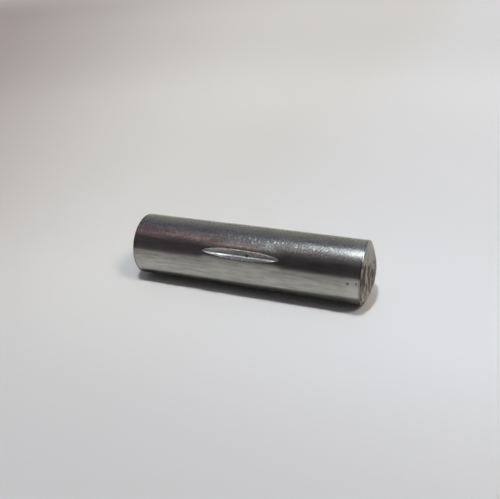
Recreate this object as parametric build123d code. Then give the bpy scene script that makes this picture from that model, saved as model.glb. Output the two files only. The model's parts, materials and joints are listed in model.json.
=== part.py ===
from build123d import *
from math import asin, cos, radians, sin, sqrt, tan
import os

# Driving dimensions in millimetres, with angles in degrees
PIN_DIAMETER = 6.0
PIN_LENGTH = 24.0
CROWN_RADIUS = 6.0
RIM_RADIUS = 0.12
GRIP_LENGTH = 8.5
GRIP_GROWTH = 0.015
LIP_LENGTH = 8.1
LIP_STRAIGHT = 3.0
LIP_RISE = 0.15
LIP_SPREAD_ANGLE = 52.0
GROOVE_LENGTH = 7.2
GROOVE_DEPTH = 0.21
GROOVE_ANGLE = 104.0
GROOVE_ROOT_RADIUS = 0.25
OVERRUN = 1.0

# The first groove faces straight down, so the pin lies on the two lips beside it
GROOVE_COUNT = 3
FIRST_GROOVE_ANGLE = 180.0
FULL_TURN_ANGLE = 360.0

# Sizes that follow from the driving dimensions
PIN_RADIUS = PIN_DIAMETER / 2
HALF_LENGTH = PIN_LENGTH / 2
HALF_GRIP = GRIP_LENGTH / 2
GRIP_RADIUS = PIN_RADIUS + GRIP_GROWTH
LIP_CREST = PIN_RADIUS + LIP_RISE
ROOT_HEIGHT = PIN_RADIUS - GROOVE_DEPTH


def arc_radius(half_span, rise):
    """Radius of the arc that rises by this much over half its span."""
    return (half_span**2 + rise**2) / (2 * rise)


def arc_drop(radius, reach):
    """Fall of an arc below its top, at this reach from its middle."""
    return radius - sqrt(radius**2 - reach**2)


def crown(end):
    """Arc of one crowned end, from the axis out to the rim, at end +1 or -1."""
    half_angle = asin(PIN_RADIUS / CROWN_RADIUS) / 2
    centre = HALF_LENGTH - CROWN_RADIUS
    rim_x = HALF_LENGTH - arc_drop(CROWN_RADIUS, PIN_RADIUS)
    middle = (end * (centre + CROWN_RADIUS * cos(half_angle)), CROWN_RADIUS * sin(half_angle))
    return ThreePointArc((end * HALF_LENGTH, 0), middle, (end * rim_x, PIN_RADIUS))


def blank():
    """Turned rod with crowned ends, a hair fuller along the grip at mid-length."""
    left, right = crown(-1), crown(1)
    grip_left, grip_right = (-HALF_GRIP, PIN_RADIUS), (HALF_GRIP, PIN_RADIUS)
    outline = [
        Line(left @ 0, right @ 0),
        right,
        Line(right @ 1, grip_right),
        ThreePointArc(grip_right, (0, GRIP_RADIUS), grip_left),
        Line(grip_left, left @ 1),
        left,
    ]
    profile = make_face(outline)
    corners = profile.vertices().sort_by(Axis.X)
    left_rim, right_rim = corners[1], corners[-2]
    return revolve(fillet([left_rim, right_rim], RIM_RADIUS), Axis.X)


def swelling():
    """Metal pushed up round one groove: a barrel set off the pin's axis, so only a low ridge shows."""
    spread = radians(LIP_SPREAD_ANGLE / 2)
    axis_z = (LIP_CREST**2 - GRIP_RADIUS**2) / (2 * (LIP_CREST - GRIP_RADIUS * cos(spread)))
    level_x = LIP_STRAIGHT / 2
    fade_x = LIP_LENGTH / 2 - level_x
    fade_radius = arc_radius(fade_x, LIP_RISE)
    end_x = level_x + fade_x + OVERRUN
    end_z = LIP_CREST - arc_drop(fade_radius, fade_x + OVERRUN)
    level = Line((-level_x, 0, LIP_CREST), (level_x, 0, LIP_CREST))
    right_fade = TangentArc(level @ 1, (end_x, 0, end_z), tangent=level % 1)
    left_fade = TangentArc(level @ 0, (-end_x, 0, end_z), tangent=-(level % 0))
    base = Polyline(right_fade @ 1, (end_x, 0, axis_z), (-end_x, 0, axis_z), left_fade @ 1)
    return revolve(make_face([level, right_fade, base, left_fade]), Axis((0, 0, axis_z), (1, 0, 0)))


def cutter():
    """Vee-edged wheel that presses one groove, its axle across the pin above the groove."""
    half_angle = radians(GROOVE_ANGLE / 2)
    point_z = ROOT_HEIGHT - GROOVE_ROOT_RADIUS * (1 / sin(half_angle) - 1)
    top_z = LIP_CREST + OVERRUN
    top_y = (top_z - point_z) * tan(half_angle)
    profile = make_face(Polyline((0, 0, point_z), (0, top_y, top_z), (0, -top_y, top_z), close=True))
    point = profile.vertices().sort_by(Axis.Z)[0]
    axle_z = ROOT_HEIGHT + arc_radius(GROOVE_LENGTH / 2, GROOVE_DEPTH)
    return revolve(fillet(point, GROOVE_ROOT_RADIUS), Axis((0, 0, axle_z), (0, 1, 0)))


def around_pin(feature):
    """Copies of one feature, spaced evenly round the pin from the first groove's place."""
    step = FULL_TURN_ANGLE / GROOVE_COUNT
    return [Rot(X=FIRST_GROOVE_ANGLE + step * n) * feature for n in range(GROOVE_COUNT)]


def groove_pin():
    """The whole pin in one solid, its axis along X and its middle at the origin."""
    return blank() + around_pin(swelling()) - around_pin(cutter())


os.makedirs("parts", exist_ok=True)
export_step(groove_pin(), "parts/groove_pin.step")
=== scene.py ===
import json
import math

import bpy
import numpy as np
from mathutils import Matrix, Vector, noise


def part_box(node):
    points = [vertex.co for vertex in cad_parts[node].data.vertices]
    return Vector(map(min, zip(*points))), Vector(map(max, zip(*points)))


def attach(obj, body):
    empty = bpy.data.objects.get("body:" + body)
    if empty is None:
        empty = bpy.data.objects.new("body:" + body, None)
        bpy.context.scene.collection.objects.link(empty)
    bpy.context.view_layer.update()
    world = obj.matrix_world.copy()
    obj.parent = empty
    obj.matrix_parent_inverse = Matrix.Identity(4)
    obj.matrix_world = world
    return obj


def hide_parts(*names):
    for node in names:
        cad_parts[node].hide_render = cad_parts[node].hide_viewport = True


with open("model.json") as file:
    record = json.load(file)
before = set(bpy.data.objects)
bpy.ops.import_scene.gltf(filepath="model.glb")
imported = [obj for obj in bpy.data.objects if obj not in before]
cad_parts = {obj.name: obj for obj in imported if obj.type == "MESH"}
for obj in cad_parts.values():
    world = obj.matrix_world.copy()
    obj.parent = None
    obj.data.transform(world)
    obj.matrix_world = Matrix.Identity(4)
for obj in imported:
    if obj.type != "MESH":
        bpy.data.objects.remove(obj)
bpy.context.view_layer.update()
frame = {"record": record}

pin_low, pin_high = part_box("groove_pin")
mounts = {mount["name"]: mount for mount in frame["record"]["mounts"]}

# Sizes are in millimetres, and MM is one of them in the scene's metres
MM = 0.001
HALF_TURN = 180.0

# Sizes of the pin, as in its solid
PIN_RADIUS = mounts["plain_end_right"]["dims"]["r_mm"]
HALF_LENGTH = pin_high.x / MM
FLOOR_Z = pin_low.z / MM
CROWN_RADIUS = 6.0
RIM_RADIUS = 0.12
HALF_GRIP = 4.25
GRIP_GROWTH = 0.015
LIP_LENGTH = 8.1
LIP_STRAIGHT = 3.0
LIP_RISE = 0.15
LIP_SPREAD = math.radians(52.0)
GROOVE_LENGTH = 7.2
GROOVE_DEPTH = 0.21
GROOVE_HALF_ANGLE = math.radians(52.0)
GROOVE_ROOT_RADIUS = 0.25
GROOVE_COUNT = 3
FIRST_GROOVE = math.radians(-90.0)

# Softness of the lips, and of the foot of the metal raised beside a groove
LIP_ROUND = 0.05
FOOT_ROUND = 0.05
FOOT_REACH = 0.5
GROOVE_REACH = math.radians(25.0)

# Passes that settle a groove's flank and find its lip
FLANK_PASSES = 12
LIP_PASSES = 40

# Rows of points across half of one groove's share of the pin
FLANK_ROWS = 12
LIP_ROWS = 6
SWELL_ROWS = 10
LAND_ROWS = 12
LIP_BAND = 0.12
SWELL_BAND = 1.25
NARROWEST_LIP = 0.10

# Rings of points along the pin, with the rows evenly spaced outside the grip
GRIP_RINGS = 85
SHANK_RINGS = 22
END_RINGS = 24
RIM_RINGS = 8
CROWN_RINGS = 40
GRIP_END_X = 4.4
EVEN_X = 7.5
FINE_END_X = 9.8

# Wear on the pin, where a pit has its place along the pin, its angle round it, its length and its width
PITS = [(10.11, 7.7, 0.17, 0.12), (10.85, 9.0, 0.08, 0.15)]
GROOVE_PIT = (0.65, 30.0, 0.17, 0.19)
PIT_DEPTH = 0.03
# Place along the pin of the painted shade line by each rim
RIM_SHADE_X = 11.08
CRUMB_HEIGHT = 0.02
CRUMB_PITCH = 0.45
CHATTER_HEIGHT = 0.004
CHATTER_PITCH = 0.16
CHATTER_STRETCH_SHARES = (1.0, 0.5, 0.5)
# Rows beside each groove that carry the painted lip highlight
LIP_HIGHLIGHT_ROWS = 2

# Corners that a face has in a groove to be of pressed steel
PRESSED_CORNERS = 3

# Order of the steels in the pin's list of materials
SHANK, GROOVE, END, LIP = range(4)

# A grain has its bumps to the millimetre along X, Y and Z, and the fineness of its detail
MOTTLE_GRAIN = ((0.8, 3.0, 3.0), 3.0)
BRUSH_GRAIN = ((0.35, 8.0, 8.0), 2.0)
SPECK_GRAIN = ((5.0, 6.5, 6.5), 2.0)
FINE_GRAIN = ((8.0, 5.0, 5.0), 3.0)
CHATTER_GRAIN = ((7.0, 3.0, 3.0), 3.0)
WOBBLE_GRAIN = ((8.0, 4.0, 4.0), 2.0)
ROOT_GRAIN = ((10.0, 6.0, 6.0), 2.0)
LIP_HIGHLIGHT_GRAIN = ((4.0, 4.0, 4.0), 3.0)
STREAK_GRAIN = ((8.0, 1.5, 1.5), 4.0)
CRUMB_GRAIN = ((2.0, 2.6, 2.6), 4.0)
CLOUD_GRAIN = ((0.05, 0.05, 0.05), 3.0)

# Ground steel, where a ramp carries a value from its first two numbers to its last two, or to nought and one
MOTTLE_SHARE = 0.4
BRUSH_SHARE = 0.6
GROUND_RAMP = (0.38, 0.62)
GROUND_DARK = (0.335, 0.327, 0.313, 1)
GROUND_PALE = (0.455, 0.45, 0.435, 1)
# Painted sheen: the ground steel made paler toward the right end
RIGHT_END_SHEEN_RAMP = (9.2, 10.6, 0.0, 0.6)
RIGHT_END_SHEEN = (0.56, 0.552, 0.533, 1)
SPECK_RAMP = (0.72, 0.80, 0.0, 0.5)
PIT_RAMP = (0.4, 1.2, 0.85, 0.0)
# Painted shade: a dark line round the pin by each rim
RIM_SHADE_RAMP = (0.02, 0.08, 0.5, 0.0)
MARK_AND_SHADE_DARK = (0.06, 0.055, 0.055, 1)
UPWARD_RAMP = (0.5, 0.8)
FINE_ROUGHNESS_RAMP = (0.3, 0.7, 0.005, 0.075)
GROUND_ROUGHNESS = 0.215
COAT_WEIGHT = 0.22
COAT_ROUGHNESS = 0.18
COAT_IOR = 1.8

# How grains of steel lean: grains to the millimetre, then the lean, each along X, Y and Z
GROUND_LEAN = ((12.0, 7.0, 7.0), (0.40, 0.0, 0.0))
PRESSED_LEAN = ((14.0, 14.0, 14.0), (0.36, 0.06, 0.06))
EVEN_LEAN = (0.5, 0.5, 0.5)

# Pressed steel of the grooves, with a painted highlight as a bright broken line by the root, a painted
# reflection that makes the flank paler on the left, and painted shade on the lower flank
CHATTER_RAMP = (0.3, 0.7)
# Flanks paler on the left than on the right: painted reflection
FLANK_LEFT_DARK = (0.27, 0.275, 0.29, 1)
FLANK_LEFT_PALE = (0.44, 0.44, 0.455, 1)
FLANK_RIGHT_DARK = (0.18, 0.18, 0.185, 1)
FLANK_RIGHT_PALE = (0.32, 0.32, 0.325, 1)
FLANK_REFLECTION_RAMP = (-2.6, 0.4)
ROOT_WOBBLE = 0.1
ROOT_DROP = 0.08
ROOT_WIDTH_RAMP = (0.04, 0.10, 1.0, 0.0)
ROOT_BREAK_RAMP = (0.36, 0.56, 0.2, 0.85)
ROOT_SIDE_RAMP = (-2.8, 0.6, 0.6, 1.0)
ROOT_HIGHLIGHT = (0.66, 0.66, 0.64, 1)
# Painted shade on the lower flank of each groove
LOWER_FLANK_SHADE_RAMP = (-0.14, -0.04, 0.65, 0.0)
LOWER_FLANK_SHADE = (0.10, 0.10, 0.10, 1)
PIT_DARK = (0.03, 0.03, 0.03, 1)
PRESSED_UPWARD_RAMP = (0.1, 0.5)
PRESSED_ROUGHNESS_RAMP = (0.3, 0.7, 0.36, 0.30)

# Steel of the upper lips, made paler as a painted highlight broken in patches
LIP_HIGHLIGHT_RAMP = (0.35, 0.65)
LIP_HIGHLIGHT_DIM = (0.55, 0.55, 0.53, 1)
LIP_HIGHLIGHT_BRIGHT = (0.92, 0.92, 0.90, 1)
LIP_ROUGHNESS = 0.3

# Cropped steel of the ends, with brown stain across the lower half and round the middle, and painted light
# that makes the upper half paler
END_UP = (0.0, 0.49, 0.87)
END_RAGGED = 1.4
END_LEVEL = 0.7
END_TOP_LIGHT_RAMP = (-0.6, 0.8)
END_LOWER = (0.33, 0.295, 0.26, 1)
END_UPPER_LIT = (0.38, 0.378, 0.355, 1)
STAIN_LEVEL = 0.4
STAIN_RAMP = (0.7, 1.4, 0.95, 0.0)
STAIN = (0.118, 0.092, 0.073, 1)
MIDDLE_RAGGED = 1.6
MIDDLE_RAMP = (1.9, 2.7, 0.7, 0.0)
MIDDLE_STAIN = (0.14, 0.098, 0.07, 1)
STREAK_LEVEL_RAMP = (0.5, 1.4, 1.0, 0.25)
STREAK_RADIUS_RAMP = (0.2, 1.4, 0.3, 1.0)
PALE_STREAK_RAMP = (0.54, 0.61, 0.0, 0.7)
PALE_STREAK = (0.60, 0.565, 0.50, 1)
DARK_STREAK_RAMP = (0.46, 0.40, 0.0, 0.8)
DARK_STREAK = (0.055, 0.045, 0.04, 1)
STREAK_DEPTH = 0.02
END_ROUGHNESS_RAMP = (0.3, 0.7, 0.60, 0.45)

# Floor, with painted shade toward the left, toward the front and toward its far left corner
FLOOR_HALF = 1500.0
FLOOR_SIDE_RAMP = (-16.0, 20.0)
FLOOR_LEFT_SHADED = (0.815, 0.822, 0.803, 1)
FLOOR_RIGHT = (0.86, 0.882, 0.907, 1)
CLOUD_SHIFT = 6.0
FLOOR_FRONT_SHADE_RAMP = (-30.0, 0.0)
FLOOR_FRONT_SHADE = (0.62, 0.625, 0.635, 1)
FAN_START = 75.0
FAN_LEAST = 30.0
FAN_RAMP = (-0.18, -0.85)
CORNER_DEPTH_RAMP = (-45.0, 5.0)
CORNER_FADE_RAMP = (330.0, 800.0, 1.0, 0.0)
FLOOR_CORNER_SHADE = (0.45, 0.40, 0.385, 1)
NEAR_GLOW_RAMP = (8.0, 110.0, 0.0, 0.27)
FAR_GLOW_RAMP = (90.0, 300.0, 0.0, 0.1)
FLOOR_ROUGHNESS = 0.9
FLOOR_SPECULAR = 0.2

# Floor as the steel mirrors it, with painted shade toward the front and a painted shadow patch under the pin
MIRRORED_RAMP = (-16.0, -4.0)
MIRRORED_FRONT_SHADE = (0.53, 0.525, 0.505, 1)
MIRRORED_NEAR = (0.78, 0.775, 0.745, 1)
SHADOW_PATCH_DARK = (0.16, 0.155, 0.155, 1)
PATCH_LEAN = 0.03
PATCH_SIDE_RAMP = (2.7, 3.2)
PATCH_END_RAMP = (11.2, 12.2)
PATCH_GLOW = 0.018

# Room that the steel mirrors, by angle in degrees from the front horizon over the top to the back one
ROOM_STOPS = [
    (0.0, (0.46, 0.45, 0.43, 1)),
    (1.5, (0.42, 0.41, 0.40, 1)),
    (5.0, (0.046, 0.040, 0.046, 1)),
    (45.0, (0.044, 0.041, 0.046, 1)),
    (58.0, (0.115, 0.108, 0.110, 1)),
    (66.0, (0.13, 0.124, 0.126, 1)),
    (80.0, (0.070, 0.064, 0.067, 1)),
    (105.0, (0.080, 0.087, 0.112, 1)),
    (122.0, (0.126, 0.134, 0.164, 1)),
    (138.0, (0.255, 0.252, 0.24, 1)),
    (180.0, (0.44, 0.438, 0.385, 1)),
]
READY_STOPS = 2
ROOM_LEFT_RAMP = (-0.28, -0.42)
ROOM_LOW_RAMP = (36.0 / HALF_TURN, 50.0 / HALF_TURN, 1.0, 0.0)
ROOM_LEFT_GLOW = (0.034, 0.029, 0.030, 1)
ROOM_PALE = (0.57, 0.567, 0.563, 1)

# Soft light of the room, from low in front to overhead and behind
SOFT_RAMP = (28.0 / HALF_TURN, 76.0 / HALF_TURN)
SOFT_LOW = (0.008, 0.003, 0.009, 1)
SOFT_HIGH = (0.283, 0.276, 0.283, 1)

# Lamps and cards, each with its name, place, size, brightness and colour
KEY_LAMP = ("key", (6.0, -34.0, 134.0), (12.0, 13.5), 178.0, (0.895, 0.95, 1.0))
SIDE_LAMP = ("side", (680.0, -230.0, 950.0), (300.0, 170.0), 24.5, (1.0, 0.87, 0.74))
CARDS = [
    ("cool_card", (20.0, 40.0, 1000.0), (75.0, 340.0), 49.0, (0.87, 0.95, 1.0)),
    ("end_card", (700.0, 800.0, 230.0), (800.0, 500.0), 0.9, (1.0, 0.97, 0.90)),
    ("warm_card", (-395.0, -285.0, 1000.0), (165.0, 50.0), 3.5, (1.0, 0.68, 0.66)),
    ("lip_card", (-370.0, -50.0, 1000.0), (90.0, 180.0), 0.6, (1.0, 0.85, 0.83)),
    ("rose_card", (-620.0, -160.0, 1000.0), (260.0, 880.0), 0.12, (1.0, 0.33, 0.46)),
]

# Camera, aimed past the pin's middle and leaning a little to its right
CAMERA_PLACE = Vector((18.95, -46.53, 26.38))
CAMERA_AIM = Vector((-0.119, 0.300, 0.633))
CAMERA_ROLL = math.radians(2.80)
CAMERA_LENS = 42.39
CAMERA_SENSOR = 36.0

# Sizes that follow from those of the pin
LIP_CREST = PIN_RADIUS + LIP_RISE
GRIP_RADIUS = PIN_RADIUS + GRIP_GROWTH
ROOT_HEIGHT = PIN_RADIUS - GROOVE_DEPTH
ROOT_FILL = GROOVE_ROOT_RADIUS * (1 / math.sin(GROOVE_HALF_ANGLE) - 1)
POINT_HEIGHT = ROOT_HEIGHT - ROOT_FILL
ROOT_SOFT = ROOT_FILL * math.tan(GROOVE_HALF_ANGLE)
GROOVE_STEP = 2 * math.pi / GROOVE_COUNT
CROWN_CENTRE = HALF_LENGTH - CROWN_RADIUS
RIM_OFFSET = PIN_RADIUS - RIM_RADIUS
RIM_X = CROWN_CENTRE + math.sqrt((CROWN_RADIUS - RIM_RADIUS) ** 2 - RIM_OFFSET**2)
CROWN_ANGLE = math.asin(RIM_OFFSET / (CROWN_RADIUS - RIM_RADIUS))
CAP_RINGS = RIM_RINGS + CROWN_RINGS - 1


def arc_radius(half_span, rise):
    """Radius of the arc that rises by this much over half its span."""
    return (half_span**2 + rise**2) / (2 * rise)


def arc_drop(radius, reach):
    """Fall of an arc below its top, at this reach from its middle."""
    return radius - np.sqrt(radius**2 - reach**2)


SWELL_AXIS = (LIP_CREST**2 - GRIP_RADIUS**2) / (2 * (LIP_CREST - GRIP_RADIUS * math.cos(LIP_SPREAD / 2)))
FADE_RADIUS = arc_radius((LIP_LENGTH - LIP_STRAIGHT) / 2, LIP_RISE)
AXLE_HEIGHT = ROOT_HEIGHT + arc_radius(GROOVE_LENGTH / 2, GROOVE_DEPTH)


def smooth_min(a, b, width):
    """The lower of two heights, rounded where they cross."""
    share = np.clip(0.5 + 0.5 * (b - a) / width, 0.0, 1.0)
    return b + (a - b) * share - width * share * (1.0 - share)


def smooth_max(a, b, width):
    """The higher of two heights, rounded where they cross."""
    return -smooth_min(-a, -b, width)


def smooth_step(low, high, value):
    """Nought below low, one above high, with a soft change between."""
    share = np.clip((value - low) / (high - low), 0.0, 1.0)
    return share * share * (3.0 - 2.0 * share)


def shank_radius(x):
    """Radius of the plain shank, a hair fuller along the grip."""
    return PIN_RADIUS + GRIP_GROWTH * np.clip(1.0 - (x / HALF_GRIP) ** 2, 0.0, 1.0)


def swell_distance(x, turn):
    """Distance from the pin's axis to the raised metal, at this turn from its groove."""
    reach = np.clip(np.abs(x) - LIP_STRAIGHT / 2, 0.0, LIP_LENGTH)
    radius = LIP_CREST - arc_drop(FADE_RADIUS, reach) - SWELL_AXIS
    inside = np.maximum(radius**2 - (SWELL_AXIS * np.sin(turn)) ** 2, 0.0)
    return SWELL_AXIS * np.cos(turn) + np.sqrt(inside)


def groove_distance(x, turn):
    """Distance from the pin's axis to the groove's flank, at this turn from its middle."""
    distance = np.full(np.broadcast(x, turn).shape, PIN_RADIUS)
    for _ in range(FLANK_PASSES):
        across = np.sqrt((distance * np.sin(turn)) ** 2 + ROOT_SOFT**2)
        reach = AXLE_HEIGHT - POINT_HEIGHT - across / math.tan(GROOVE_HALF_ANGLE)
        distance = (AXLE_HEIGHT - np.sqrt(np.maximum(reach**2 - x**2, 0.0))) / np.cos(turn)
    return distance


def body_distance(x, turn):
    """Distance from the pin's axis to the shank and raised metal, before the groove is cut."""
    shank = shank_radius(x) + 0.0 * turn
    raised = smooth_max(shank, swell_distance(x, turn), FOOT_ROUND)
    return np.where(np.abs(x) > LIP_LENGTH / 2 + FOOT_REACH, shank, raised)


def lip_offset(x):
    """How far round the pin a groove's lip is from the groove's middle."""
    low, high = np.zeros_like(x), np.full_like(x, GROOVE_REACH * PIN_RADIUS)
    for _ in range(LIP_PASSES):
        middle = (low + high) / 2
        turn = middle / PIN_RADIUS
        cut = groove_distance(x, turn) < body_distance(x, turn)
        low, high = np.where(cut, middle, low), np.where(cut, high, middle)
    return low


def row_turns(x, lip):
    """Turn of every row from its groove's middle, ring by ring, close together at the lips."""
    lip = np.maximum(lip, NARROWEST_LIP)[:, None]
    foot = np.full_like(lip, SWELL_BAND)
    edge = np.full_like(lip, GROOVE_STEP / 2 * PIN_RADIUS)
    bands = [
        (np.zeros_like(lip), lip, FLANK_ROWS),
        (lip, lip + LIP_BAND, LIP_ROWS),
        (lip + LIP_BAND, foot, SWELL_ROWS),
        (foot, edge, LAND_ROWS),
    ]
    half = np.hstack([a + (b - a) * np.arange(n)[None, :] / n for a, b, n in bands] + [edge])
    even = edge * np.linspace(0.0, 1.0, half.shape[1])[None, :]
    half = half + (even - half) * smooth_step(GRIP_END_X, EVEN_X, np.abs(x))[:, None]
    return np.hstack([-half[:, :0:-1], half[:, :-1]]) / PIN_RADIUS


def side_stations():
    """Places along the pin of the rings on its side."""
    grip = np.linspace(0.0, GRIP_END_X, GRIP_RINGS, endpoint=False)
    shank = np.linspace(GRIP_END_X, FINE_END_X, SHANK_RINGS, endpoint=False)
    end = np.linspace(FINE_END_X, RIM_X, END_RINGS)
    right = np.concatenate([grip, shank, end])
    return np.concatenate([-right[:0:-1], right])


def noise_at(points, pitch, stretch=(1.0, 1.0, 1.0)):
    """Smooth noise from -1 to 1 at each point, with bumps about one pitch across."""
    scaled = points * (np.array(stretch) / pitch)
    return np.array([noise.noise(p) for p in scaled.tolist()])


def side_rings():
    """Reach, turn, radius and groove mark of every point on the pin's side."""
    x = side_stations()
    lip = lip_offset(x)
    turn = row_turns(x, lip)
    body = body_distance(x[:, None], turn)
    near = np.abs(turn) < GROOVE_REACH
    cut = np.where(near, groove_distance(x[:, None], np.where(near, turn, 0.0)), LIP_CREST + LIP_ROUND)
    radius = smooth_min(body, cut, LIP_ROUND)
    in_groove = (cut < body) & (np.abs(turn) * PIN_RADIUS < lip[:, None])
    turns = np.hstack([turn + FIRST_GROOVE + GROOVE_STEP * n for n in range(GROOVE_COUNT)])
    across = [x[:, None] + 0.0 * turns, turns]
    return across + [np.hstack([radius] * GROOVE_COUNT), np.hstack([in_groove] * GROOVE_COUNT)]


def end_rings(turns):
    """Reach, turn and radius of the rings from the rim to near the middle of the crown."""
    rim = np.linspace(math.pi / 2, CROWN_ANGLE, RIM_RINGS + 1)[1:]
    crown = CROWN_ANGLE * np.linspace(1.0, 0.0, CROWN_RINGS + 1)[1:-1]
    x = np.concatenate([RIM_X + RIM_RADIUS * np.cos(rim), CROWN_CENTRE + CROWN_RADIUS * np.cos(crown)])
    r = np.concatenate([RIM_OFFSET + RIM_RADIUS * np.sin(rim), CROWN_RADIUS * np.sin(crown)])
    rows = np.zeros_like(turns)[None, :]
    return x[:, None] + rows, turns[None, :] + np.zeros_like(x)[:, None], r[:, None] + rows


def pin_points():
    """Every ring of the pin from its left crown to its right one, with the groove marks."""
    x, turn, radius, in_groove = side_rings()
    left_x, left_turn, left_r = end_rings(turn[0])
    right_x, right_turn, right_r = end_rings(turn[-1])
    flat = np.zeros(left_x.shape, bool)
    return (
        np.vstack([-left_x[::-1], x, right_x]),
        np.vstack([left_turn, turn, right_turn]),
        np.vstack([left_r[::-1], radius, right_r]),
        np.vstack([flat, in_groove, flat]),
    )


def wear_pits(x, turn, radius):
    """Radius with the small pits sunk into the shank."""
    for place, angle, length, width in PITS:
        round_pin = (turn - math.radians(angle)) * PIN_RADIUS
        far = ((x - place) / length) ** 2 + (round_pin / width) ** 2
        radius = radius - PIT_DEPTH * np.exp(-(far**2))
    return radius


def pin_faces(rings, rows):
    """Quads between neighbouring rings, then a fan of triangles over each crown's middle."""
    start = np.arange(rings - 1)[:, None] * rows
    a = start + np.arange(rows)[None, :]
    b = start + (np.arange(rows)[None, :] + 1) % rows
    quads = np.stack([a, a + rows, b + rows, b], axis=-1).reshape(-1, 4).tolist()
    left, right, last = rings * rows, rings * rows + 1, (rings - 1) * rows
    after = [(n + 1) % rows for n in range(rows)]
    left_fan = [[left, n, after[n]] for n in range(rows)]
    right_fan = [[right, last + after[n], last + n] for n in range(rows)]
    return quads, left_fan + right_fan


def worn_points(x, turn, radius, in_groove):
    """Every point of the pin, with its pits, chatter in the grooves and crumbled crowns."""
    radius = wear_pits(x, turn, radius)
    points = np.stack([x, -radius * np.cos(turn), radius * np.sin(turn)], axis=-1).reshape(-1, 3)
    chatter = noise_at(points, CHATTER_PITCH, CHATTER_STRETCH_SHARES) * CHATTER_HEIGHT
    crumb = noise_at(points, CRUMB_PITCH) * CRUMB_HEIGHT
    on_crown = smooth_step(RIM_X, RIM_X + RIM_RADIUS, np.abs(points[:, 0]))
    points[:, 0] -= np.sign(points[:, 0]) * on_crown * (crumb + CRUMB_HEIGHT)
    deep = in_groove.reshape(-1)
    points[deep, 1:] *= (1.0 + chatter[deep] / PIN_RADIUS)[:, None]
    tip = HALF_LENGTH - CRUMB_HEIGHT
    return np.vstack([points, [[-tip, 0, 0], [tip, 0, 0]]])


def quad_steels(x, in_groove, quads):
    """Which steel each quad between the rings is made of."""
    rings, rows = x.shape
    ring_of = np.repeat(np.arange(rings - 1), rows)
    end_faces = CAP_RINGS - RIM_RINGS // 2
    is_end = (ring_of < end_faces) | (ring_of >= rings - 1 - end_faces)
    is_groove = in_groove.reshape(-1)[np.array(quads)].sum(axis=1) >= PRESSED_CORNERS
    share_rows = rows // GROOVE_COUNT
    lip_row = share_rows // 2 + FLANK_ROWS
    row_of = np.tile(np.arange(rows), rings - 1) % share_rows
    # Rows by a groove's lip take the painted highlight
    near_lip = (row_of >= lip_row - LIP_HIGHLIGHT_ROWS) & (row_of <= lip_row)
    is_lip = near_lip & (np.abs(x[ring_of, 0]) < GROOVE_LENGTH / 2)
    return np.where(is_end, END, np.where(is_lip, LIP, np.where(is_groove, GROOVE, SHANK)))


def make_pin(steels):
    """The pin as one fine mesh, with its steels by face."""
    x, turn, radius, in_groove = pin_points()
    points = worn_points(x, turn, radius, in_groove)
    quads, fans = pin_faces(*x.shape)
    mesh = bpy.data.meshes.new("groove_pin_surface")
    mesh.from_pydata((points * MM).tolist(), [], quads + fans)
    mesh.shade_smooth()
    for steel in steels:
        mesh.materials.append(steel)
    index = quad_steels(x, in_groove, quads).tolist() + [END] * len(fans)
    mesh.polygons.foreach_set("material_index", index)
    pin = bpy.data.objects.new("groove_pin_surface", mesh)
    bpy.context.scene.collection.objects.link(pin)
    return pin


def add_node(tree, kind, inputs=None, **settings):
    """New shader node with its settings made and its inputs set or linked."""
    node = tree.nodes.new(kind)
    for name, value in settings.items():
        setattr(node, name, value)
    for name, value in (inputs or {}).items():
        if isinstance(value, bpy.types.NodeSocket):
            tree.links.new(value, node.inputs[name])
        else:
            node.inputs[name].default_value = value
    return node


def blend(tree, share, first, second, way="MIX"):
    """Colour between two others, or made from them in another way."""
    inputs = {0: share, 6: first, 7: second}
    return add_node(tree, "ShaderNodeMix", inputs, data_type="RGBA", blend_type=way).outputs[2]


def remap(tree, value, from_low, from_high, to_low=0.0, to_high=1.0):
    """Value carried softly from one range to another."""
    inputs = {0: value, 1: from_low, 2: from_high, 3: to_low, 4: to_high}
    return add_node(tree, "ShaderNodeMapRange", inputs, interpolation_type="SMOOTHSTEP").outputs[0]


def calculate(tree, operation, first, second=0.0, third=0.0):
    """Sum or other result of up to three values."""
    return add_node(tree, "ShaderNodeMath", {0: first, 1: second, 2: third}, operation=operation).outputs[0]


def multiply(tree, first, second):
    """Product of two values."""
    return calculate(tree, "MULTIPLY", first, second)


def absolute(tree, value):
    """Value without its sign."""
    return calculate(tree, "ABSOLUTE", value)


def axes(tree, vector):
    """X, Y and Z of a vector."""
    return add_node(tree, "ShaderNodeSeparateXYZ", {0: vector}).outputs


def combine(tree, operation, first, second=(0.0, 0.0, 0.0)):
    """Vector made from one or two others."""
    return add_node(tree, "ShaderNodeVectorMath", {0: first, 1: second}, operation=operation).outputs[0]


def scale(tree, vector, factor):
    """Vector made longer or shorter."""
    return add_node(tree, "ShaderNodeVectorMath", {0: vector, 3: factor}, operation="SCALE").outputs[0]


def measure(tree, operation, first, second=(0.0, 0.0, 0.0)):
    """Length of a vector, or its reach along another."""
    return add_node(tree, "ShaderNodeVectorMath", {0: first, 1: second}, operation=operation).outputs["Value"]


def pin_place(tree):
    """Place in millimetres from the middle of the pin."""
    return scale(tree, add_node(tree, "ShaderNodeTexCoord").outputs["Object"], 1.0 / MM)


def surface_normal(tree):
    """Direction that the surface faces."""
    return add_node(tree, "ShaderNodeNewGeometry").outputs["Normal"]


def grain(tree, place, per_mm, detail):
    """Noise with this many bumps to the millimetre along X, Y and Z."""
    inputs = {"Vector": combine(tree, "MULTIPLY", place, per_mm), "Scale": 1.0, "Detail": detail}
    return add_node(tree, "ShaderNodeTexNoise", inputs).outputs[0]


def steel_material(name):
    """Material with a steel shader, and its node tree and shader."""
    material = bpy.data.materials.new(name)
    material.use_nodes = True
    shader = material.node_tree.nodes["Principled BSDF"]
    shader.inputs["Metallic"].default_value = 1.0
    return material, material.node_tree, shader


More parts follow.
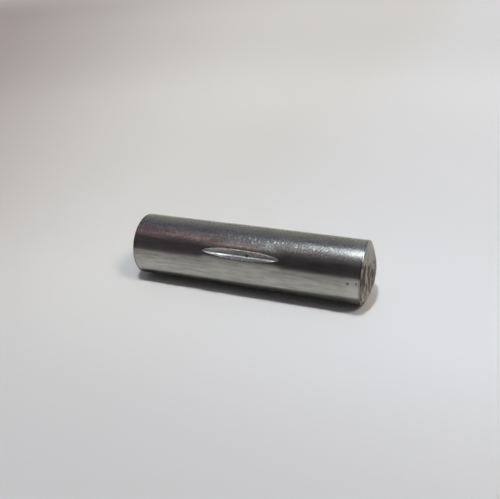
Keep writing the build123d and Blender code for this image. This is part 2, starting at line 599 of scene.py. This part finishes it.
def relief(tree, height, depth):
    """Normal of a fine relief."""
    inputs = {"Strength": 1.0, "Distance": depth * MM, "Height": height}
    return add_node(tree, "ShaderNodeBump", inputs).outputs[0]


def leaning(tree, place, per_mm, lean, upward_ramp):
    """Normal that leans from one grain of the steel to the next, where the steel faces upward."""
    inputs = {"Vector": combine(tree, "MULTIPLY", place, per_mm), "Scale": 1.0}
    toss = add_node(tree, "ShaderNodeTexVoronoi", inputs).outputs["Color"]
    toss = combine(tree, "MULTIPLY", combine(tree, "SUBTRACT", toss, EVEN_LEAN), lean)
    normal = surface_normal(tree)
    upward = remap(tree, axes(tree, normal)[2], *upward_ramp)
    return combine(tree, "NORMALIZE", combine(tree, "ADD", normal, scale(tree, toss, upward)))


def pit_mark(tree, place, pit, radius=PIN_RADIUS):
    """Darkness of one pit, strongest at its middle and nought at its edge."""
    x, angle, length, width = pit
    turn = math.radians(angle)
    middle = (x, -radius * math.cos(turn), radius * math.sin(turn))
    off = combine(tree, "DIVIDE", combine(tree, "SUBTRACT", place, middle), (length, width, width))
    return remap(tree, measure(tree, "LENGTH", off), *PIT_RAMP)


def marks_and_rim_shade(tree, place):
    """Darkness of the shank's specks and pits, and of the painted shade line by each rim."""
    marks = remap(tree, grain(tree, place, *SPECK_GRAIN), *SPECK_RAMP)
    for pit in PITS:
        marks = calculate(tree, "MAXIMUM", marks, pit_mark(tree, place, pit))
    # Painted shade: a dark line round the pin by each rim
    from_ring = calculate(tree, "SUBTRACT", absolute(tree, axes(tree, place)[0]), RIM_SHADE_X)
    ring = remap(tree, absolute(tree, from_ring), *RIM_SHADE_RAMP)
    return calculate(tree, "MAXIMUM", marks, ring)


def shank_steel():
    """Steel ground round the pin, with a painted sheen that makes it brighter by the right end, and a painted
    shade line by each rim.
    """
    material, tree, shader = steel_material("ground_steel")
    place = pin_place(tree)
    mottle = multiply(tree, grain(tree, place, *MOTTLE_GRAIN), MOTTLE_SHARE)
    brush = multiply(tree, grain(tree, place, *BRUSH_GRAIN), BRUSH_SHARE)
    shade = remap(tree, calculate(tree, "ADD", mottle, brush), *GROUND_RAMP)
    colour = blend(tree, shade, GROUND_DARK, GROUND_PALE)
    # Painted sheen: colour paler toward the right end
    colour = blend(tree, remap(tree, axes(tree, place)[0], *RIGHT_END_SHEEN_RAMP), colour, RIGHT_END_SHEEN)
    colour = blend(tree, marks_and_rim_shade(tree, place), colour, MARK_AND_SHADE_DARK)
    tree.links.new(colour, shader.inputs["Base Color"])
    fine = remap(tree, grain(tree, place, *FINE_GRAIN), *FINE_ROUGHNESS_RAMP)
    upward = remap(tree, axes(tree, surface_normal(tree))[2], *UPWARD_RAMP)
    rough = calculate(tree, "MULTIPLY_ADD", fine, upward, GROUND_ROUGHNESS)
    tree.links.new(rough, shader.inputs["Roughness"])
    shader.inputs["Coat Weight"].default_value = COAT_WEIGHT
    shader.inputs["Coat Roughness"].default_value = COAT_ROUGHNESS
    shader.inputs["Coat IOR"].default_value = COAT_IOR
    tree.links.new(leaning(tree, place, *GROUND_LEAN, UPWARD_RAMP), shader.inputs["Coat Normal"])
    return material


def groove_offset(tree, place):
    """Distance round the pin from the middle of the nearest groove."""
    _, y, z = axes(tree, place)
    turn = calculate(tree, "ARCTAN2", z, multiply(tree, y, -1.0))
    turn = calculate(tree, "SUBTRACT", turn, FIRST_GROOVE)
    turn = calculate(tree, "WRAP", turn, GROOVE_STEP / 2, -GROOVE_STEP / 2)
    return multiply(tree, turn, PIN_RADIUS)


def root_highlight(tree, place, from_line):
    """Strength of the painted highlight, a bright broken line by a groove's root."""
    line = remap(tree, absolute(tree, from_line), *ROOT_WIDTH_RAMP)
    line = multiply(tree, line, remap(tree, grain(tree, place, *ROOT_GRAIN), *ROOT_BREAK_RAMP))
    return multiply(tree, line, remap(tree, axes(tree, place)[0], *ROOT_SIDE_RAMP))


def groove_steel():
    """Steel of the pressed grooves, with a painted highlight along the root, a painted reflection on the left
    of the flank and painted shade on the lower flank.
    """
    material, tree, shader = steel_material("pressed_steel")
    place = pin_place(tree)
    chatter = grain(tree, place, *CHATTER_GRAIN)
    paler = remap(tree, chatter, *CHATTER_RAMP)
    left = blend(tree, paler, FLANK_LEFT_DARK, FLANK_LEFT_PALE)
    right = blend(tree, paler, FLANK_RIGHT_DARK, FLANK_RIGHT_PALE)
    # Painted reflection: the flank paler toward the left
    colour = blend(tree, remap(tree, axes(tree, place)[0], *FLANK_REFLECTION_RAMP), left, right)
    wobble = calculate(tree, "MULTIPLY_ADD", grain(tree, place, *WOBBLE_GRAIN), ROOT_WOBBLE, ROOT_DROP)
    from_line = calculate(tree, "ADD", groove_offset(tree, place), wobble)
    # Painted shade on the lower flank
    colour = blend(tree, remap(tree, from_line, *LOWER_FLANK_SHADE_RAMP), colour, LOWER_FLANK_SHADE)
    # Painted highlight along the root
    colour = blend(tree, root_highlight(tree, place, from_line), colour, ROOT_HIGHLIGHT)
    colour = blend(tree, pit_mark(tree, place, GROOVE_PIT, ROOT_HEIGHT), colour, PIT_DARK)
    tree.links.new(colour, shader.inputs["Base Color"])
    tree.links.new(remap(tree, chatter, *PRESSED_ROUGHNESS_RAMP), shader.inputs["Roughness"])
    tree.links.new(leaning(tree, place, *PRESSED_LEAN, PRESSED_UPWARD_RAMP), shader.inputs["Normal"])
    return material


def lip_highlight_steel():
    """Painted highlight, broken in patches, on the edge of a groove's upper lip."""
    material, tree, shader = steel_material("worn_lip_steel")
    highlight_share = remap(tree, grain(tree, pin_place(tree), *LIP_HIGHLIGHT_GRAIN), *LIP_HIGHLIGHT_RAMP)
    tree.links.new(blend(tree, highlight_share, LIP_HIGHLIGHT_DIM, LIP_HIGHLIGHT_BRIGHT), shader.inputs["Base Color"])
    shader.inputs["Roughness"].default_value = LIP_ROUGHNESS
    return material


def end_streaks(tree, place, radius, flat):
    """Streaks that run round the pin's axis on its ends."""
    _, way_y, way_z = axes(tree, combine(tree, "NORMALIZE", flat))
    out = calculate(tree, "ADD", radius, axes(tree, place)[0])
    round_end = add_node(tree, "ShaderNodeCombineXYZ", {0: out, 1: way_y, 2: way_z}).outputs[0]
    return grain(tree, round_end, *STREAK_GRAIN)


def end_steel():
    """Dull, stained and streaked steel of the cropped ends, made paler toward the top by painted light."""
    material, tree, shader = steel_material("cropped_steel")
    place = pin_place(tree)
    _, y, z = axes(tree, place)
    flat = add_node(tree, "ShaderNodeCombineXYZ", {1: y, 2: z}).outputs[0]
    radius = measure(tree, "LENGTH", flat)
    streaks = end_streaks(tree, place, radius, flat)
    crumbs = grain(tree, place, *CRUMB_GRAIN)
    level = calculate(tree, "SUBTRACT", measure(tree, "DOT_PRODUCT", place, END_UP), END_LEVEL)
    level = calculate(tree, "MULTIPLY_ADD", crumbs, END_RAGGED, level)
    # Painted light: paler toward the top, over the brown of the lower half
    colour = blend(tree, remap(tree, level, *END_TOP_LIGHT_RAMP), END_LOWER, END_UPPER_LIT)
    from_stain = absolute(tree, calculate(tree, "ADD", level, STAIN_LEVEL))
    colour = blend(tree, remap(tree, from_stain, *STAIN_RAMP), colour, STAIN)
    from_middle = calculate(tree, "MULTIPLY_ADD", crumbs, MIDDLE_RAGGED, radius)
    colour = blend(tree, remap(tree, from_middle, *MIDDLE_RAMP), colour, MIDDLE_STAIN)
    plain = remap(tree, level, *STREAK_LEVEL_RAMP)
    plain = multiply(tree, plain, remap(tree, radius, *STREAK_RADIUS_RAMP))
    pale = multiply(tree, remap(tree, streaks, *PALE_STREAK_RAMP), plain)
    dark = multiply(tree, remap(tree, streaks, *DARK_STREAK_RAMP), plain)
    colour = blend(tree, dark, blend(tree, pale, colour, PALE_STREAK), DARK_STREAK)
    tree.links.new(colour, shader.inputs["Base Color"])
    tree.links.new(remap(tree, crumbs, *END_ROUGHNESS_RAMP), shader.inputs["Roughness"])
    tree.links.new(relief(tree, streaks, STREAK_DEPTH), shader.inputs["Normal"])
    return material


def floor_colour(tree, place, far):
    """Colour of the floor, cooler to the right, with painted shade darker to the left, the front and the far
    left corner.
    """
    along, away, _ = axes(tree, place)
    cloud = multiply(tree, grain(tree, place, *CLOUD_GRAIN), CLOUD_SHIFT)
    # Painted shade: darker and warmer to the left, cooler to the right
    across = remap(tree, calculate(tree, "ADD", along, cloud), *FLOOR_SIDE_RAMP)
    colour = blend(tree, across, FLOOR_LEFT_SHADED, FLOOR_RIGHT)
    # Painted shade toward the front
    colour = blend(tree, remap(tree, away, *FLOOR_FRONT_SHADE_RAMP), FLOOR_FRONT_SHADE, colour)
    # Painted shade fanning toward the far left corner
    reach = calculate(tree, "MAXIMUM", calculate(tree, "ADD", away, FAN_START), FAN_LEAST)
    fan = calculate(tree, "DIVIDE", along, reach)
    corner = multiply(tree, remap(tree, fan, *FAN_RAMP), remap(tree, away, *CORNER_DEPTH_RAMP))
    corner = multiply(tree, corner, remap(tree, far, *CORNER_FADE_RAMP))
    return blend(tree, corner, colour, FLOOR_CORNER_SHADE)


def outside_shadow_patch(tree, place):
    """Nought on the painted shadow patch of floor under the pin, and one outside it."""
    along, away, _ = axes(tree, place)
    aside = calculate(tree, "SUBTRACT", absolute(tree, away), multiply(tree, along, PATCH_LEAN))
    beyond = remap(tree, absolute(tree, along), *PATCH_END_RAMP)
    return calculate(tree, "MAXIMUM", remap(tree, aside, *PATCH_SIDE_RAMP), beyond)


def floor_glow(tree, far, outside, rays):
    """Faint glow of the floor far from the pin, and of the painted shadow patch that the steel mirrors."""
    glow = calculate(tree, "ADD", remap(tree, far, *NEAR_GLOW_RAMP), remap(tree, far, *FAR_GLOW_RAMP))
    glow = multiply(tree, glow, rays["Is Camera Ray"])
    patch = multiply(tree, calculate(tree, "SUBTRACT", 1.0, outside), rays["Is Glossy Ray"])
    return calculate(tree, "MULTIPLY_ADD", patch, PATCH_GLOW, glow)


def floor_material():
    """Pale matt floor, with painted shade where the steel mirrors it."""
    material = bpy.data.materials.new("pale_floor")
    material.use_nodes = True
    tree = material.node_tree
    shader = tree.nodes["Principled BSDF"]
    place = pin_place(tree)
    far = measure(tree, "LENGTH", place)
    outside = outside_shadow_patch(tree, place)
    rays = add_node(tree, "ShaderNodeLightPath").outputs
    colour = floor_colour(tree, place, far)
    tree.links.new(colour, shader.inputs["Emission Color"])
    tree.links.new(floor_glow(tree, far, outside, rays), shader.inputs["Emission Strength"])
    # Painted shade: the mirrored floor darker toward the front
    mirrored = remap(tree, axes(tree, place)[1], *MIRRORED_RAMP)
    mirrored = blend(tree, mirrored, MIRRORED_FRONT_SHADE, MIRRORED_NEAR)
    # Painted shadow: dark patch under the pin, seen only in the steel
    mirrored = blend(tree, outside, SHADOW_PATCH_DARK, mirrored)
    colour = blend(tree, rays["Is Glossy Ray"], colour, mirrored)
    tree.links.new(colour, shader.inputs["Base Color"])
    shader.inputs["Roughness"].default_value = FLOOR_ROUGHNESS
    shader.inputs["Specular IOR Level"].default_value = FLOOR_SPECULAR
    return material


def make_floor():
    """Wide floor under the pin."""
    corners = [(-FLOOR_HALF, -FLOOR_HALF), (FLOOR_HALF, -FLOOR_HALF)]
    corners += [(FLOOR_HALF, FLOOR_HALF), (-FLOOR_HALF, FLOOR_HALF)]
    mesh = bpy.data.meshes.new("floor")
    mesh.from_pydata([(x * MM, y * MM, FLOOR_Z * MM) for x, y in corners], [], [(0, 1, 2, 3)])
    mesh.materials.append(floor_material())
    floor = bpy.data.objects.new("floor", mesh)
    bpy.context.scene.collection.objects.link(floor)


def make_lamp(name, place, size, brightness, colour):
    """Flat lamp facing the pin, as bright as its brightness in every direction."""
    data = bpy.data.lights.new(name, "AREA")
    data.shape = "RECTANGLE"
    data.size, data.size_y = size[0] * MM, size[1] * MM
    data.energy = brightness * math.pi * data.size * data.size_y
    data.color = colour
    lamp = bpy.data.objects.new(name, data)
    back = Vector(place).normalized()
    across = back.cross(Vector((1, 0, 0))).normalized()
    turn = Matrix((across.cross(back), across, back)).transposed()
    lamp.matrix_world = Matrix.Translation(Vector(place) * MM) @ turn.to_4x4()
    bpy.context.scene.collection.objects.link(lamp)
    return lamp


def room_ramp(tree, angle):
    """Colour of the room that the steel mirrors, by angle."""
    ramp = add_node(tree, "ShaderNodeValToRGB", {0: angle})
    stops = ramp.color_ramp.elements
    for n, (degrees, colour) in enumerate(ROOM_STOPS):
        stop = stops[n] if n < READY_STOPS else stops.new(degrees / HALF_TURN)
        stop.position = degrees / HALF_TURN
        stop.color = colour
    return ramp.outputs[0]


def make_room():
    """Room mirrored in the steel, the soft light that it sheds, and its pale walls."""
    world = bpy.data.worlds.new("room")
    bpy.context.scene.world = world
    world.use_nodes = True
    tree = world.node_tree
    x, y, z = axes(tree, add_node(tree, "ShaderNodeTexCoord").outputs["Generated"])
    front = multiply(tree, y, -1.0)
    angle = calculate(tree, "DIVIDE", calculate(tree, "ARCTAN2", z, front), math.pi)
    rays = add_node(tree, "ShaderNodeLightPath").outputs
    soft = blend(tree, remap(tree, angle, *SOFT_RAMP), SOFT_LOW, SOFT_HIGH)
    left_front = multiply(tree, remap(tree, x, *ROOM_LEFT_RAMP), remap(tree, angle, *ROOM_LOW_RAMP))
    mirrored = blend(tree, left_front, room_ramp(tree, angle), ROOM_LEFT_GLOW, "ADD")
    colour = blend(tree, rays["Is Glossy Ray"], soft, mirrored)
    colour = blend(tree, rays["Is Camera Ray"], colour, ROOM_PALE)
    tree.links.new(colour, tree.nodes["Background"].inputs["Color"])


def make_lights():
    """Lamp over the floor, lamp at the side, and cards that show only in the steel."""
    make_lamp(*KEY_LAMP).visible_glossy = False
    make_lamp(*SIDE_LAMP)
    for card in CARDS:
        make_lamp(*card).visible_diffuse = False


def make_camera():
    """Camera with its place, aim and lean."""
    data = bpy.data.cameras.new("camera")
    data.lens = CAMERA_LENS
    data.sensor_width = CAMERA_SENSOR
    data.clip_start = MM
    camera = bpy.data.objects.new("camera", data)
    look = (CAMERA_AIM - CAMERA_PLACE).to_track_quat("-Z", "Y").to_matrix()
    look = look @ Matrix.Rotation(-CAMERA_ROLL, 3, "Z")
    camera.matrix_world = Matrix.Translation(CAMERA_PLACE * MM) @ look.to_4x4()
    bpy.context.scene.collection.objects.link(camera)
    bpy.context.scene.camera = camera


pin = make_pin([shank_steel(), groove_steel(), end_steel(), lip_highlight_steel()])
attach(pin, "root")
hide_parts("groove_pin")
make_floor()
make_room()
make_lights()
make_camera()
bpy.context.scene.view_settings.view_transform = "Standard"
